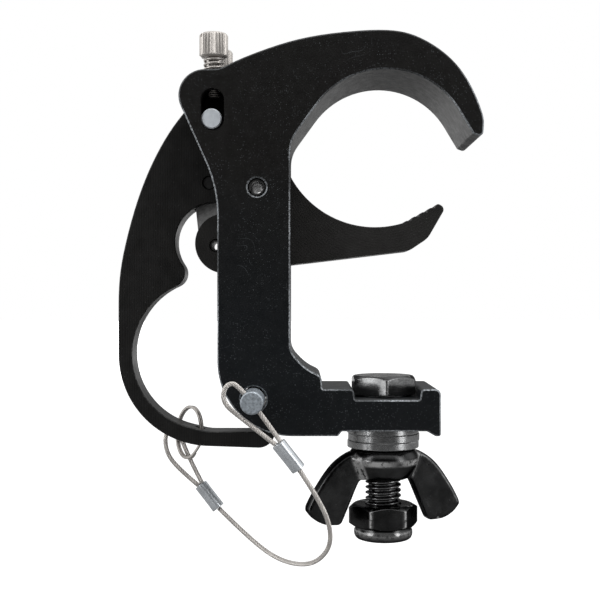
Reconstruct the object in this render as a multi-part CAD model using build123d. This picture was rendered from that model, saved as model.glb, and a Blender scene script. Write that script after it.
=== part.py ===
from build123d import *
import os
from math import atan2, cos, degrees, hypot, pi, radians, sin, tan

# A quick-trigger pipe clamp for hanging a luminaire from a horizontal pipe.
# Millimetres. The origin is on the axis of the gripped pipe, at mid width. +Z is up, +Y runs along
# the pipe to the clamp's rear, and the trigger lever is on the -X side.

# Body
SEAT_R = 22.8           # radius of the hook's seat on the pipe
SEAT_FROM = 31.0        # degrees where the seat's arc begins, from +X towards +Z
SEAT_TO = 144.0         # degrees where it ends
BODY_W = 30.0           # width along the pipe
SLOT_W = 10.0           # slot between the two cheeks
STEM_LEFT = -45.1
STEM_RIGHT = -25.6
TRAY_TOP = -62.8        # top of the tray that carries the fixture bolt
TRAY_WALL = 11.3        # from the tray's top to its underside
TRAY_END = 14.7
HEEL_DROP = 1.3         # heel and lip stand this far below the underside
CHANNEL_DEPTH = 2.9     # channel that stops the bolt's head from turning
EDGE = 0.4              # chamfer on the body's outer edges
LUG = (-48.5, 15.8)     # centre of the lug that carries the adjusting screws
LUG_R = 7.0
LUG_TO = 204.0          # degrees where the lug's round meets the side
HOOK_FLANK = 7.3        # straight part of the hook's mouth below the seat

# Lever, link and jaw
PLATE_PLAY = 0.25       # on each side of the lever and the jaw in the body's slot
PLATE_W = SLOT_W - 2 * PLATE_PLAY
LINK_W = 4.0
LINK_PLAY_Y = 0.25      # on each side of the link in its forks
FORK_W = LINK_W + 2 * LINK_PLAY_Y
LINK_HALF = 4.7         # half the link's width
RUN = 0.05              # radial clearance of a pin that turns in its hole
LEVER_PIVOT = (-46.7, 9.6)
LEVER_LINK = (-48.1, -6.5)
JAW_LINK = (-46.2, -23.9)
JAW_PIVOT = (-34.5, -8.8)
LEVER_PIN_R = 2.75
LEVER_LINK_R = 1.95
JAW_LINK_R = 1.85
JAW_PIVOT_R = 2.4
ROLL_WALL = 0.75        # wall of a rolled spring pin
LINK_SWEEP = 83.0       # degrees the link turns in the lever as it opens
TAIL_SWEEP = 61.0       # degrees it turns in the jaw's tail
LINK_PLAY = 1.15        # lost motion of the link's lower eye, up and down
LEVER_PLATE_R = 25.4    # outside of the finger loop
FINGER_R = 20.7         # inside of the finger loop
RECESS_R = 10.9
NOSE_R = 4.0            # between the finger loop and the recess
TAIL_R = 8.3            # disc at the jaw's tail
JAW_SEAT_R = 26.5       # hollow of the jaw's upper edge
TEETH = 4
TOOTH_DEPTH = 0.8

# Adjusting screws
ADJ_X = -46.4
ADJ_SLOT_W = 6.3
ADJ_SLOT_BOTTOM = 6.4
ADJ_SLOT_TOP = 17.7
SCREW_R = 1.5
SCREW_TIP = 15.8
KNOB_R = 3.9
KNOB_H = 6.5
SPRING_R = 2.45         # mean radius of the spring's coil
SPRING_WIRE = 0.35      # radius of its wire
SPRING_GAP = 4.0        # from the lug's top to the knob
SPRING_TURNS = 3.0

# Safety pin, seen end on from the front, drawn back to free the lever
SAFETY = (-35.4, -65.5)
SAFETY_R = 3.0
SAFETY_HOLE_R = SAFETY_R + 0.4
SAFETY_OUT = 11.0       # stands out of the front cheek
SAFETY_BACK = 0.3       # the drawn pin stops this far short of the lever's slot
CROSS_HOLE_IN = 3.0     # from the pin's outer end to its cross hole
CROSS_HOLE_R = 0.95
LOOP_LUG_R = 5.5        # lever's lug round the safety pin

# Lanyard
WIRE_R = 0.65
FERRULE_R = 1.75
RING_R = 6.9            # split ring, to the middle of its wire
RING_WIRE = 0.8
RING_HOLE = -51.0       # X of the hole for the ring through the lever's arm
RING_HOLE_R = 1.4
ARM_TOP = -75.4
ARM_BOTTOM = -79.4

# Fixture bolt and its nuts, M10
BOLT_X = 0.4            # the bolt stands this far from under the pipe's axis
BOLT_R = 5.0
BOLT_LENGTH = 40.0
HEX_AF = 17.0           # across the flats of the head and the lock nut
HEAD_H = 5.7
BOLT_HOLE_R = 5.5
THREAD_GAP = 0.1        # radial play of what screws or slides on a shank
WASHERS = 3
WASHER_R = 10.0
WASHER_H = 2.0
HUB_H = 9.0
HUB_R = 9.3
WING_SPAN = 22.7        # from the axis to a wing's outer corner
WING_DROP = 21.3        # from the nut's top to the wings' lower ends
WING_W = 4.6
WING_CLEAR = 3.185      # from the lock nut's corners to a wing's inner lower corner
WING_YAW = 16.0
NUT_HEX_H = 6.3
NUT_COLLAR_H = 3.5
NUT_COLLAR_R = 8.2
NUT_YAW = 5.0
NUT_CORNER = HEX_AF / 2 / cos(pi / 6)
INSERT_R = 6.55         # nylon ring in the lock nut's collar
INSERT_UP = 0.6         # from the collar's lower end to the ring
INSERT_H = 2.5

# Worked out from the above
UNDERSIDE = TRAY_TOP - TRAY_WALL
HEEL = UNDERSIDE - HEEL_DROP
CHANNEL_FLOOR = TRAY_TOP - CHANNEL_DEPTH
CHEEK_Y = (BODY_W + SLOT_W) / 4
FRONT = -BODY_W / 2
LUG_TOP = LUG[1] + LUG_R
KNOB_BASE = LUG_TOP + SPRING_GAP
SAFETY_TIP = -SLOT_W / 2 - SAFETY_BACK
SAFETY_END = FRONT - SAFETY_OUT
EYE_Y = SAFETY_END + CROSS_HOLE_IN
WASHERS_BOTTOM = UNDERSIDE - WASHERS * WASHER_H
BOLT_END = CHANNEL_FLOOR - BOLT_LENGTH
NUT_BOTTOM = BOLT_END - 0.1
NUT_TOP = NUT_BOTTOM + NUT_HEX_H + NUT_COLLAR_H
INSERT_FLOOR = NUT_BOTTOM + INSERT_UP

# Middle line of the lanyard's wire rope, from the safety pin to the ring. Each list is one length:
# the eye on the pin, the free bight between the ferrules, and the eye on the split ring.
PIN_EYE = [(-28.0, EYE_Y, -75.8), (-38.6, EYE_Y, -61.0), (-42.3, EYE_Y, -61.2), (-43.2, EYE_Y, -65.6),
           (-38.0, EYE_Y, -69.8), (-29.2, EYE_Y, -76.6)]
BIGHT = [(-23.8, -22.6, -83.8), (-18.6, -22.4, -90.6), (-15.2, -21.2, -98.4), (-15.6, -18.0, -105.4),
         (-20.6, -11.6, -111.2), (-29.4, -3.6, -111.6), (-38.4, 4.0, -106.6), (-46.3, 7.0, -98.8)]
RING_EYE = [(-50.95, 8.0, -91.8), (-53.8, 8.9, -84.8), (-56.8, 9.6, -77.4), (-61.9, 10.4, -77.0),
            (-61.6, 9.4, -83.4), (-57.0, 8.6, -88.6), (-52.05, 8.0, -92.6)]


def slab(outline, width, middle=0.0):
    """An outline drawn in X and Z, given a width along Y."""
    return Pos(0, middle, 0) * extrude(Plane.XZ * outline, amount=width / 2, both=True)


def rod(x, z, radius, y_from, y_to):
    """A round bar along Y."""
    return Pos(x, (y_from + y_to) / 2, z) * Rot(90, 0, 0) * Cylinder(radius, abs(y_to - y_from))


def disc(centre, radius):
    return Pos(*centre) * Circle(radius)


def capsule(start, end, radius):
    """Two discs and the band between them."""
    along = (end[0] - start[0], end[1] - start[1])
    length = hypot(*along)
    middle = ((start[0] + end[0]) / 2, (start[1] + end[1]) / 2)
    band = Pos(*middle) * Rot(0, 0, degrees(atan2(along[1], along[0]))) * Rectangle(length, 2 * radius)
    return disc(start, radius) + disc(end, radius) + band


def polar(radius, angle, centre=(0.0, 0.0)):
    return (centre[0] + radius * cos(radians(angle)), centre[1] + radius * sin(radians(angle)))


def post(x, y, z_from, z_to, radius):
    """A round bar along Z."""
    return Pos(x, y, (z_from + z_to) / 2) * Cylinder(radius, abs(z_to - z_from))


def hexagon(across_flats, z_from, z_to, corner_chamfer=0.0):
    """A hexagonal bar along Z whose corners are turned down at the upper end."""
    radius = across_flats / 2 / cos(pi / 6)
    bar = Pos(0, 0, z_from) * extrude(RegularPolygon(radius, 6), amount=z_to - z_from)
    if corner_chamfer:
        face_r = across_flats / 2 * 0.95
        reach = 20
        seat = (Align.CENTER, Align.CENTER, Align.MAX)
        cone = Pos(0, 0, z_to) * Cone(face_r + reach, face_r, reach * tan(radians(30)), align=seat)
        bar = bar & cone
    return bar


def swept_gap(pivot, tip, turn, radius):
    """What a link's outline sweeps as it turns about its pivot."""
    reach = hypot(tip[0] - pivot[0], tip[1] - pivot[1])
    start = degrees(atan2(tip[1] - pivot[1], tip[0] - pivot[0]))
    gap = capsule(pivot, tip, radius) + capsule(pivot, polar(reach, start + turn, pivot), radius)
    fan = [pivot] + [polar(reach / cos(radians(turn / 8)), start + turn * step / 4, pivot) for step in range(5)]
    return gap + make_face(Polyline(*fan, close=True))


def body_outline():
    seat_end = polar(SEAT_R, SEAT_TO)
    seat_start = polar(SEAT_R, SEAT_FROM)
    flank = tan(radians(SEAT_TO - 90))
    flank_foot = (STEM_RIGHT, seat_end[1] - (seat_end[0] - STEM_RIGHT) * flank)
    side_top = polar(LUG_R, LUG_TO, LUG)
    side_corner = (STEM_LEFT, side_top[1] - (STEM_LEFT - side_top[0]) / tan(radians(LUG_TO - 180)))
    channel_left = BOLT_X - HEX_AF / 2 - 0.2
    channel_right = BOLT_X + HEX_AF / 2 + 0.2
    mouth = polar(HOOK_FLANK, SEAT_FROM - 90, seat_start)
    foot_start = (STEM_RIGHT, TRAY_TOP + 12.2)
    foot_end = (-17.1, TRAY_TOP + 1.8)
    with BuildSketch() as face:
        with BuildLine():
            CenterArc((0, 0), SEAT_R, SEAT_FROM, SEAT_TO - SEAT_FROM)
            FilletPolyline(seat_end, flank_foot, foot_start, radius=10)
            Spline(foot_start, (-23.5, TRAY_TOP + 7.7), (-19.6, TRAY_TOP + 4.6), foot_end,
                   tangents=((0, -1), (0, -1)))
            FilletPolyline(foot_end, (foot_end[0], TRAY_TOP), (channel_left - 0.3, TRAY_TOP),
                           (channel_left, CHANNEL_FLOOR), (channel_right, CHANNEL_FLOOR),
                           (channel_right + 0.4, TRAY_TOP), (TRAY_END, TRAY_TOP), (TRAY_END, HEEL),
                           (13.3, HEEL), (11.0, UNDERSIDE), (-11.8, UNDERSIDE), (-12.8, HEEL),
                           (STEM_LEFT, HEEL), side_corner, side_top,
                           radius=[0.6, 1.0, 0.5, 0.5, 1.0, 1.5, 0.6, 0.6, 0.8, 0.6, 0.6, 20.0, 35.0])
            CenterArc(LUG, LUG_R, LUG_TO, 90 - LUG_TO)
            FilletPolyline((LUG[0], LUG_TOP), (-44.6, LUG_TOP), (-42.2, LUG_TOP + 1.2), radius=6)
            Spline((-42.2, LUG_TOP + 1.2), (-33.1, 27.8), (-24.6, 30.5), (-9.6, 32.9), (-1.1, 33.3), (5.3, 32.6),
                   (11.7, 29.9), (20.3, 22.3), (25.75, 11.2), (26.2, 7.6), tangents=((2, 1), (-0.2, -3.1)))
            FilletPolyline((26.2, 7.6), (26.0, 4.5), mouth, seat_start, radius=[1.2, 1.0])
        make_face()
    return face.sketch


def edges_on(solid, y):
    """The edges of a solid that lie in one plane across Y."""
    return [edge for edge in solid.edges()
            if abs(edge.bounding_box().min.Y - y) < 1e-4 and abs(edge.bounding_box().max.Y - y) < 1e-4]


def softened(plate, width, size, seen):
    """A plate with a chamfer along the rims of its two faces, where seen(rim's box) says so."""
    for side in (-width / 2, width / 2):
        rims = [edge for edge in edges_on(plate, side) if seen(edge.bounding_box())]
        plate = chamfer(rims, size)
    return plate


def pivot_slot():
    """Slot between the cheeks for the lever's head, the link and the jaw."""
    outline = Polyline((-36.5, 40), (-36.5, 1.0), (STEM_RIGHT + 12, 1.0), (STEM_RIGHT + 12, -41.5),
                       (STEM_LEFT - 20, -41.5), (STEM_LEFT - 20, 40), close=True)
    return slab(make_face(outline), SLOT_W)


def lug_slot():
    """Slot between the cheeks for the lever's lower end."""
    right = SAFETY[0] + LOOP_LUG_R + 1.0
    roof = SAFETY[1] + LOOP_LUG_R + 1.5
    outline = Polyline((right, HEEL - 5), (right, roof), (STEM_LEFT - 5, roof), (STEM_LEFT - 5, HEEL - 5),
                       close=True)
    return slab(make_face(outline), SLOT_W)


def main_body():
    body = slab(body_outline(), BODY_W)
    for side in (FRONT, -FRONT):
        body = chamfer(edges_on(body, side), EDGE)
    body -= pivot_slot() + lug_slot()
    middle = (ADJ_SLOT_BOTTOM + ADJ_SLOT_TOP) / 2
    straight = ADJ_SLOT_TOP - ADJ_SLOT_BOTTOM - ADJ_SLOT_W
    window = Pos(ADJ_X, middle) * Rot(0, 0, 90) * SlotCenterToCenter(straight, ADJ_SLOT_W)
    body -= slab(window, BODY_W + 2)
    rim = offset(window, EDGE)
    for side, sense in ((FRONT, 1), (-FRONT, -1)):
        flare = Pos(0, side - sense * EDGE, 0) * extrude(Plane.XZ * rim, amount=-sense * 2 * EDGE, taper=45)
        body -= flare
        for place, radius in ((JAW_PIVOT, JAW_PIVOT_R + 0.5), (SAFETY, SAFETY_HOLE_R + 0.45)):
            outer, inner = radius + EDGE, radius - EDGE
            ends = (outer, inner) if sense > 0 else (inner, outer)
            body -= Pos(place[0], side, place[1]) * Rot(90, 0, 0) * Cone(ends[1], ends[0], 2 * EDGE)
        body -= post(ADJ_X, sense * CHEEK_Y, ADJ_SLOT_TOP - ADJ_SLOT_W, LUG_TOP + 5, SCREW_R + THREAD_GAP)
        body -= post(ADJ_X, sense * CHEEK_Y, LUG_TOP, LUG_TOP + 5, SPRING_R + SPRING_WIRE + 0.3)
    body -= rod(*JAW_PIVOT, JAW_PIVOT_R + 0.02, FRONT - 1, 1 - FRONT)
    body -= rod(*SAFETY, SAFETY_HOLE_R, FRONT - 1, 1 - FRONT)
    body -= post(BOLT_X, 0, HEEL - 1, TRAY_TOP, BOLT_HOLE_R)
    return body


def finger_hollow(centre):
    """The finger hole, the flat on top of the lever's arm and the clear space round the lug."""
    flat_from = polar(FINGER_R, 256, centre)
    flat_corner = (flat_from[0] + (flat_from[1] - ARM_TOP) * tan(radians(76)), ARM_TOP)
    neck = (SAFETY[0] + 0.8, ARM_TOP)
    back = polar(FINGER_R, 60, centre)
    with BuildSketch() as face:
        with BuildLine():
            CenterArc(centre, FINGER_R, 60, 196)
            FilletPolyline(flat_from, flat_corner, neck, radius=12)
            Polyline(neck, (SAFETY[0] - 3.2, SAFETY[1] - 6.0), SAFETY, back)
        make_face()
    return face.sketch


def lever_outline():
    outer_loop = (-47.8, TRAY_TOP + 8.8)
    finger = (-48.7, TRAY_TOP + 8.8)
    recess = (-46.6, -22.9)
    lug_right = SAFETY[0] + LOOP_LUG_R
    arm_from = polar(LEVER_PLATE_R, 268, outer_loop)
    arm_corner = (lug_right, arm_from[1] - (lug_right - arm_from[0]) * tan(radians(2)))
    with BuildSketch() as blank:
        with BuildLine():
            Spline((-53.6, 14.8), (-57.2, 10.2), (-62.3, 2.0), (-66.1, -6.3), (-71.15, -22.9), (-73.2, -40.0),
                   tangents=((-0.6, -0.8), (0, -1)))
            Line((-73.2, -40.0), (-73.2, outer_loop[1]))
            CenterArc(outer_loop, LEVER_PLATE_R, 180, 88)
            FilletPolyline(arm_from, arm_corner, (lug_right, SAFETY[1]), radius=4.5)
            Polyline((lug_right, SAFETY[1]), SAFETY, (-42.8, -50.0), (-42.8, -12.0), (-41.2, -3.0), (-38.2, 7.0),
                     LEVER_PIVOT, (-53.6, 14.8))
        make_face()
    outline = blank.sketch + disc(LEVER_PIVOT, 8.9)
    outline -= disc(recess, RECESS_R) + finger_hollow(finger)
    cusp = outline.vertices().sort_by_distance(Vector(-49.8, -33.4, 0))[0]
    outline = fillet(cusp, NOSE_R)
    spare = Polyline((-46.0, -15.0), (-40.0, -15.0), (-40.0, SAFETY[1] + 7.0), (-46.0, SAFETY[1] + 7.0), close=True)
    return outline - make_face(spare) + disc(SAFETY, LOOP_LUG_R)


def trigger_lever():
    lever = softened(slab(lever_outline(), PLATE_W), PLATE_W, 0.25, lambda box: box.min.X < -46.5 and box.max.X < -30)
    lever -= rod(*LEVER_PIVOT, LEVER_PIN_R + RUN, -PLATE_W, PLATE_W)
    lever -= rod(*LEVER_LINK, LEVER_LINK_R + 0.01, -PLATE_W, PLATE_W)
    lever -= rod(*SAFETY, SAFETY_HOLE_R, -PLATE_W, PLATE_W)
    lever -= slab(swept_gap(LEVER_LINK, JAW_LINK, LINK_SWEEP, LINK_HALF + 0.6), FORK_W)
    lever -= post(RING_HOLE, 0, ARM_BOTTOM - 3, ARM_TOP + 3, RING_HOLE_R)
    return lever


def lever_pivot_pin():
    pin = rod(*LEVER_PIVOT, LEVER_PIN_R, FRONT + 0.5, -FRONT - 0.5)
    return chamfer(pin.edges().filter_by(GeomType.CIRCLE), 0.35)


def lever_link_pin():
    pin = rod(*LEVER_LINK, LEVER_LINK_R, -PLATE_W / 2 + 0.5, PLATE_W / 2 - 0.5)
    return chamfer(pin.edges().filter_by(GeomType.CIRCLE), 0.3)


def roll_pin(place, radius, half_length, split_angle):
    """A rolled spring pin: a tube with a slit along it and chamfered ends."""
    pin = chamfer(rod(*place, radius, -half_length, half_length).edges().filter_by(GeomType.CIRCLE), 0.3)
    pin -= rod(*place, radius - ROLL_WALL, -half_length - 1, half_length + 1)
    slit = Pos(*place) * Rot(0, 0, split_angle) * Pos(radius, 0) * Rectangle(2 * radius, 0.5)
    return pin - slab(slit, 2 * half_length + 2)


def jaw_pivot_pin():
    return roll_pin(JAW_PIVOT, JAW_PIVOT_R, -FRONT - 0.6, 215)


def jaw_link_pin():
    return roll_pin(JAW_LINK, JAW_LINK_R, PLATE_W / 2 - 0.3, 0)


def toggle_link():
    lower_eye = (JAW_LINK[0], JAW_LINK[1])
    link = slab(capsule(LEVER_LINK, lower_eye, LINK_HALF), LINK_W)
    link -= rod(*LEVER_LINK, LEVER_LINK_R + RUN, -LINK_W, LINK_W)
    play = capsule((JAW_LINK[0], JAW_LINK[1] - LINK_PLAY), (JAW_LINK[0], JAW_LINK[1] + LINK_PLAY), JAW_LINK_R + 0.65)
    return link - slab(play, LINK_W * 2)


def jaw_outline():
    hollow = (-2.2, 7.7)
    tip = (15.3, -12.3)
    tooth_line = polar(JAW_SEAT_R, 286.2, hollow)
    with BuildSketch() as blade:
        with BuildLine():
            CenterArc(hollow, JAW_SEAT_R, 207, 79.2)
            FilletPolyline(tooth_line, tip, (17.3, -13.4), (12.4, -21.9), (7.3, -25.3), (-24.7, -29.1),
                           radius=[0.9, 1.4, 6.0, 4.0])
            Polyline((-24.7, -29.1), (-41.0, -31.03), JAW_PIVOT, (-33.0, -1.9), polar(JAW_SEAT_R, 207, hollow))
        make_face()
    pitch = (tip[0] - tooth_line[0]) / (TEETH + 0.6)
    rise = (tip[1] - tooth_line[1]) / (tip[0] - tooth_line[0])
    tail = (JAW_LINK[0] + 2.5, JAW_LINK[1] + 0.6)
    outline = blade.sketch + disc(JAW_PIVOT, 7.2) + disc(tail, TAIL_R) + capsule(JAW_PIVOT, tail, 4.5)
    for tooth in range(TEETH):
        left = tooth_line[0] + pitch * (tooth + 0.45)
        mouth = [(left + pitch * share, tooth_line[1] + (left + pitch * share - tooth_line[0]) * rise + 0.15)
                 for share in (0.0, 0.82)]
        root = (left + pitch * 0.72, mouth[1][1] - TOOTH_DEPTH - 0.1)
        outline -= make_face(Polyline(mouth[0], mouth[1], root, close=True))
    return outline


def jaw():
    body = softened(slab(jaw_outline(), PLATE_W), PLATE_W, 0.2, lambda box: box.max.X > 0)
    body -= rod(*JAW_PIVOT, JAW_PIVOT_R + RUN, -PLATE_W, PLATE_W)
    body -= rod(*JAW_LINK, JAW_LINK_R + 0.01, -PLATE_W, PLATE_W)
    fork = swept_gap(JAW_LINK, LEVER_LINK, TAIL_SWEEP, LINK_HALF + 1.3)
    return body - slab(fork, FORK_W)


def adjuster_screw(y):
    """A thumb screw with a round head, a neck that carries the spring, and a slot across its top."""
    knob = chamfer(post(ADJ_X, y, KNOB_BASE, KNOB_BASE + KNOB_H, KNOB_R).edges().filter_by(GeomType.CIRCLE), 0.4)
    knob -= Pos(ADJ_X, y, KNOB_BASE + KNOB_H) * Rot(0, 0, 35) * Box(2 * KNOB_R + 1, 0.9, 2.0)
    return knob + post(ADJ_X, y, SCREW_TIP, KNOB_BASE + 1, SCREW_R)


def adjuster_spring(y):
    """A compression spring between the lug and the knob."""
    bottom = LUG_TOP + SPRING_WIRE + 0.02
    height = SPRING_GAP - 2 * SPRING_WIRE - 0.04
    coil = Helix(height / SPRING_TURNS, height, SPRING_R)
    start = Plane(origin=coil @ 0, z_dir=coil % 0)
    return Pos(ADJ_X, y, bottom) * sweep(start * Circle(SPRING_WIRE), path=coil, is_frenet=True)


def safety_pin():
    pin = rod(*SAFETY, SAFETY_R, SAFETY_END, SAFETY_TIP)
    pin = chamfer(pin.edges().filter_by(GeomType.CIRCLE), 0.35)
    first, last = PIN_EYE[0], PIN_EYE[1]
    slope = degrees(atan2(last[2] - first[2], last[0] - first[0]))
    cross = Pos(SAFETY[0], EYE_Y, SAFETY[1]) * Rot(0, -slope, 0) * Rot(0, 90, 0) * Cylinder(CROSS_HOLE_R, 20)
    return pin - cross


def arc_radii(points):
    """The largest tangent arc that each corner of a route has room for."""
    radii = []
    for before, corner, after in zip(points, points[1:], points[2:]):
        inward, outward = Vector(*corner) - Vector(*before), Vector(*after) - Vector(*corner)
        turn = radians(inward.get_angle(outward))
        radii.append(0.45 * min(inward.length, outward.length) / tan(turn / 2))
    return radii


def wire(points):
    """A length of the wire rope along straight runs joined by arcs."""
    radii = arc_radii(points)
    path = FilletPolyline(*points, radius=radii)
    tube = sweep(Plane(origin=path @ 0, z_dir=path % 0) * Circle(WIRE_R), path=path)
    share = tube.volume / (pi * WIRE_R ** 2 * path.length)
    print("wire of", round(path.length, 1), "mm, arcs", [round(r, 1) for r in radii], "volume share", round(share, 3))
    return tube


def ferrule(top, bottom):
    """A crimped sleeve between two points of the lanyard."""
    axis = Vector(*bottom) - Vector(*top)
    return Plane(origin=top, z_dir=axis) * Cylinder(FERRULE_R, axis.length - 0.15,
                                                  align=(Align.CENTER, Align.CENTER, Align.MIN))


def midpoint(first, second):
    return tuple((a + b) / 2 for a, b in zip(first, second))


def split_ring():
    """The ring hangs from its hole in the lever's arm, turned to the clamp's rear."""
    away = Vector(-0.54, 0.84, 0)
    centre = Vector(RING_HOLE, 0, (ARM_TOP + ARM_BOTTOM) / 2) + away * RING_R
    return Plane(origin=centre, z_dir=away.rotate(Axis.Z, 90)) * Torus(RING_R, RING_WIRE)


def fixture_bolt():
    """The head stands on a thin round face, with two flats along the channel's walls."""
    head = Rot(0, 0, 30) * hexagon(HEX_AF, CHANNEL_FLOOR + 0.5, CHANNEL_FLOOR + HEAD_H, 1.0)
    face = post(0, 0, CHANNEL_FLOOR, CHANNEL_FLOOR + 1, HEX_AF / 2 - 0.7)
    return Pos(BOLT_X, 0, 0) * (head + face + post(0, 0, BOLT_END, CHANNEL_FLOOR + HEAD_H / 2, BOLT_R))


def washer(index):
    """Each lies a little off centre on the bolt, as it fell."""
    shift = ((BOLT_X - 0.15, -0.1), (BOLT_X + 0.15, 0.1), (BOLT_X - 0.05, 0.1))[index % 3]
    top = UNDERSIDE - index * WASHER_H
    ring = post(shift[0], shift[1], top, top - WASHER_H, WASHER_R)
    ring = chamfer(ring.edges().filter_by(GeomType.CIRCLE), 0.15)
    return ring - post(shift[0], shift[1], top + 1, top - WASHER_H - 1, BOLT_R + 0.25)


def wing_nut():
    """A cast nut whose hub narrows downwards between two drooping wings."""
    with BuildSketch(Plane.XZ) as section:
        with BuildLine():
            Polyline((BOLT_R - 1, -HUB_H), (BOLT_R - 1, 0), (HUB_R, 0), (HUB_R, -3.0))
            Spline((HUB_R, -3.0), (HUB_R - 0.5, -5.8), (HUB_R - 1.5, -7.8), (HUB_R - 3.0, -HUB_H),
                   tangents=((0, -1), (-1, -0.7)))
            Line((HUB_R - 3.0, -HUB_H), (BOLT_R - 1, -HUB_H))
        make_face()
    tip = (WING_SPAN, -16.5)
    toe = (17.5, -20.9)
    heel = (NUT_CORNER + WING_CLEAR, -WING_DROP)
    with BuildSketch() as blade:
        with BuildLine():
            Spline((6.0, -0.3), (9.6, -1.0), (13.5, -3.2), (16.6, -6.3), (20.1, -11.4), tip)
            ThreePointArc(tip, toe, heel)
            Polyline(heel, (8.0, -10.0), (6.0, -7.0), (6.0, -0.3))
        make_face()
    wing = slab(fillet(blade.vertices().sort_by_distance(Vector(*tip, 0))[0], 1.0), WING_W)
    wing = chamfer(edges_on(wing, -WING_W / 2) + edges_on(wing, WING_W / 2), 0.4)
    nut = revolve(section.sketch, Axis.Z) + wing + Rot(0, 0, 180) * wing
    nut -= post(0, 0, 1, -HUB_H - 1, BOLT_R + THREAD_GAP)
    return Pos(BOLT_X, 0, WASHERS_BOTTOM) * Rot(0, 0, WING_YAW) * nut


def lock_nut():
    """A nut whose turned collar holds a nylon ring at its lower end."""
    hexed = Rot(0, 0, NUT_YAW) * hexagon(HEX_AF, NUT_TOP - NUT_HEX_H, NUT_TOP, 1.0)
    hexed = mirror(hexed, Plane.XY.offset(NUT_TOP - NUT_HEX_H / 2)) & hexed
    collar = post(0, 0, NUT_BOTTOM, NUT_TOP - NUT_HEX_H / 2, NUT_COLLAR_R)
    collar = fillet(collar.edges().filter_by(GeomType.CIRCLE).sort_by(Axis.Z)[0], 1.2)
    nut = hexed + collar - post(0, 0, NUT_TOP + 1, NUT_BOTTOM - 1, BOLT_R + THREAD_GAP)
    groove = post(0, 0, INSERT_FLOOR, INSERT_FLOOR + INSERT_H, INSERT_R + 0.05)
    return Pos(BOLT_X, 0, 0) * (nut - groove)


def lock_nut_insert():
    ring = post(0, 0, INSERT_FLOOR, INSERT_FLOOR + INSERT_H, INSERT_R)
    return Pos(BOLT_X, 0, 0) * (ring - post(0, 0, NUT_BOTTOM, NUT_TOP, BOLT_R + 0.05))


NODES = {
    "main_body": main_body,
    "jaw": jaw,
    "jaw_pivot_pin": jaw_pivot_pin,
    "jaw_link_pin": jaw_link_pin,
    "trigger_lever": trigger_lever,
    "lever_pivot_pin": lever_pivot_pin,
    "lever_link_pin": lever_link_pin,
    "toggle_link": toggle_link,
    "adjuster_screw_front": lambda: adjuster_screw(-CHEEK_Y),
    "adjuster_screw_rear": lambda: adjuster_screw(CHEEK_Y),
    "adjuster_spring_front": lambda: adjuster_spring(-CHEEK_Y),
    "adjuster_spring_rear": lambda: adjuster_spring(CHEEK_Y),
    "safety_pin": safety_pin,
    "lanyard_pin_eye": lambda: wire(PIN_EYE),
    "ferrule_pin_end": lambda: ferrule(midpoint(PIN_EYE[0], PIN_EYE[-1]), BIGHT[0]),
    "lanyard_bight": lambda: wire(BIGHT),
    "ferrule_ring_end": lambda: ferrule(midpoint(RING_EYE[0], RING_EYE[-1]), BIGHT[-1]),
    "lanyard_ring_eye": lambda: wire(RING_EYE),
    "split_ring": split_ring,
    "fixture_bolt": fixture_bolt,
    "washer_upper": lambda: washer(0),
    "washer_middle": lambda: washer(1),
    "washer_lower": lambda: washer(2),
    "wing_nut": wing_nut,
    "lock_nut": lock_nut,
    "lock_nut_insert": lock_nut_insert,
}

os.makedirs("parts", exist_ok=True)
for name, make in NODES.items():
    export_step(make(), f"parts/{name}.step")
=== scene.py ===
"""Looks for the quick-trigger pipe clamp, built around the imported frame.

Metres. The gripped pipe's axis is Y, +Z is up, and the camera looks along +Y."""

import math

import bmesh
import bpy
from mathutils import Matrix, Vector
from mathutils.kdtree import KDTree


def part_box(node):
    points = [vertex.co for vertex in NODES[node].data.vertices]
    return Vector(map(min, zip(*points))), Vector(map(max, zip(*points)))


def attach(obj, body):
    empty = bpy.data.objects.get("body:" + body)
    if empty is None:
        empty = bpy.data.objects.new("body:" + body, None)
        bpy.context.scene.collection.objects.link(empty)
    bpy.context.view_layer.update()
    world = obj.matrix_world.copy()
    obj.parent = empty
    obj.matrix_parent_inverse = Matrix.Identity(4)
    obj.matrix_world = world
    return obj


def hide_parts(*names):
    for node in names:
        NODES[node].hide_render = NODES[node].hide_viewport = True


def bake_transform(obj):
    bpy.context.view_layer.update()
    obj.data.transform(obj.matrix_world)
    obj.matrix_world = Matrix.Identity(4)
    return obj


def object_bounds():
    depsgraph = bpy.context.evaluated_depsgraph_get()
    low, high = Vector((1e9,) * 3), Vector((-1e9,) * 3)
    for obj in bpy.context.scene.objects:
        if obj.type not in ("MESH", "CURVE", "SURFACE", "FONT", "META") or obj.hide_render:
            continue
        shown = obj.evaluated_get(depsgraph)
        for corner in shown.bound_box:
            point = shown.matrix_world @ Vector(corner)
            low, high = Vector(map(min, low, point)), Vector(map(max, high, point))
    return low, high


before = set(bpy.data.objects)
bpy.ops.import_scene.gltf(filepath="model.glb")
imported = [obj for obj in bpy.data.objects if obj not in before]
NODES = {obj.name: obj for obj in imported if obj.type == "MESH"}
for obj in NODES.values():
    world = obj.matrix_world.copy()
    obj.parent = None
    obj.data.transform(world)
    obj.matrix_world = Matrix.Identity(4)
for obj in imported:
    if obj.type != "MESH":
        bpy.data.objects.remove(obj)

cad_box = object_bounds()
MM = 0.001
TAU = 2 * math.pi
MERGE = 1e-6  # Points closer than this are made one.
TINY = 1e-7  # Well under MERGE, so rings this far apart close up.


# ---------------------------------------------------------------- meshes


def mm(*values):
    """A point given in millimetres, in metres."""
    return Vector(values) * MM


def smoothstep(low, high, value):
    t = min(max((value - low) / (high - low), 0.0), 1.0)
    return t * t * (3 - 2 * t)


def linked(name, data):
    """A new object in the scene."""
    obj = bpy.data.objects.new(name, data)
    bpy.context.scene.collection.objects.link(obj)
    return obj


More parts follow.
